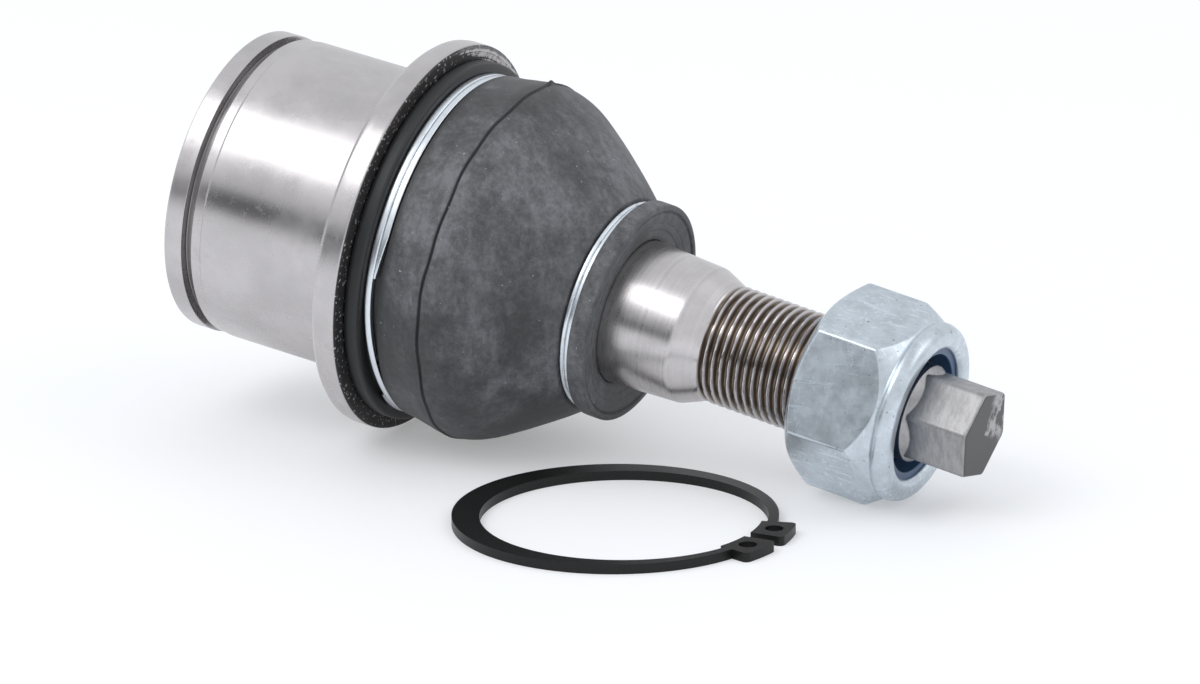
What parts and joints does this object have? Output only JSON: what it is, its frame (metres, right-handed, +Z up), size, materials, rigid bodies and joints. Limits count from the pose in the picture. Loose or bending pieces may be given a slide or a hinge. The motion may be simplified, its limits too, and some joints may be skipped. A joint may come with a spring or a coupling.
{
  "type": "suspension ball joint",
  "caption": "Press-in suspension ball joint: round flanged steel housing, rubber boot, tapered threaded stud with a hexagonal tail, nylon-insert lock nut and a loose retaining ring.",
  "frame": {"origin": "centre of the ball, on the axis of the press-fit housing", "axes": "+Z up as the joint lies on a level surface; +X along the housing's axis seen from above, towards the nut, which lies lower than the housing"},
  "size_m": [0.1447, 0.0937, 0.0664],
  "materials": {
    "turned_steel": "bright turned steel",
    "stud_steel": "ground steel stud",
    "zinc_plate": "bluish zinc plating",
    "wire_zinc": "bright zinc-plated flat wire",
    "boot_rubber": "dark grey rubber with a pale bloom",
    "seal_rubber": "black rubber",
    "nylon": "blue nylon",
    "race_polymer": "off-white bearing polymer",
    "phosphate": "black phosphated spring steel",
    "spring_steel": "plain spring steel"
  },
  "bodies": {
    "shell": {"housing": "turned_steel", "cover_plate": "zinc_plate", "cover_seal": "seal_rubber", "disc_spring": "spring_steel", "pressure_plate": "spring_steel", "front_bearing": "race_polymer", "clamp_ring": "wire_zinc"},
    "socket": {"rear_bearing": "race_polymer", "dust_boot": "boot_rubber"},
    "yoke": {"neck_ring": "wire_zinc"},
    "stud": {"ball_stud": "stud_steel"},
    "insert": {"nylon_insert": "nylon"},
    "nut": {"lock_nut": "zinc_plate"},
    "spare_ring": {"retaining_ring": "phosphate"}
  },
  "joints": [
    {"name": "swing_heading", "type": "hinge", "parent": "shell", "child": "socket", "pos_m": [0, 0, 0], "axis": [0.9874, 0, -0.1581], "continuous": true},
    {"name": "stud_swing", "type": "hinge", "parent": "socket", "child": "yoke", "pos_m": [0, 0, 0], "axis": [-0.1182, 0.6639, -0.7384], "range_deg": [-20.36, 0], "deforming": ["dust_boot"]},
    {"name": "stud_spin", "type": "hinge", "parent": "yoke", "child": "stud", "pos_m": [0, 0, 0], "axis": [0.9823, -0.0308, -0.1849], "continuous": true},
    {"name": "nut_travel", "type": "slide", "parent": "stud", "child": "insert", "axis": [0.9823, -0.0308, -0.1849], "range_m": [-0.01875, 0.012]},
    {"name": "nut_turning", "type": "hinge", "parent": "insert", "child": "nut", "pos_m": [0.09715, -0.00305, -0.01829], "axis": [0.9823, -0.0308, -0.1849], "range_deg": [-4524, 2904]},
    {"name": "ring_lift", "type": "slide", "parent": "shell", "child": "spare_ring", "axis": [0, -0.7071, 0.7071], "range_m": [0, 0.06]}
  ],
  "couplings": [
    {"joint": "nut_turning", "follows": "nut_travel", "rad_per_m": 4188.8}
  ]
}
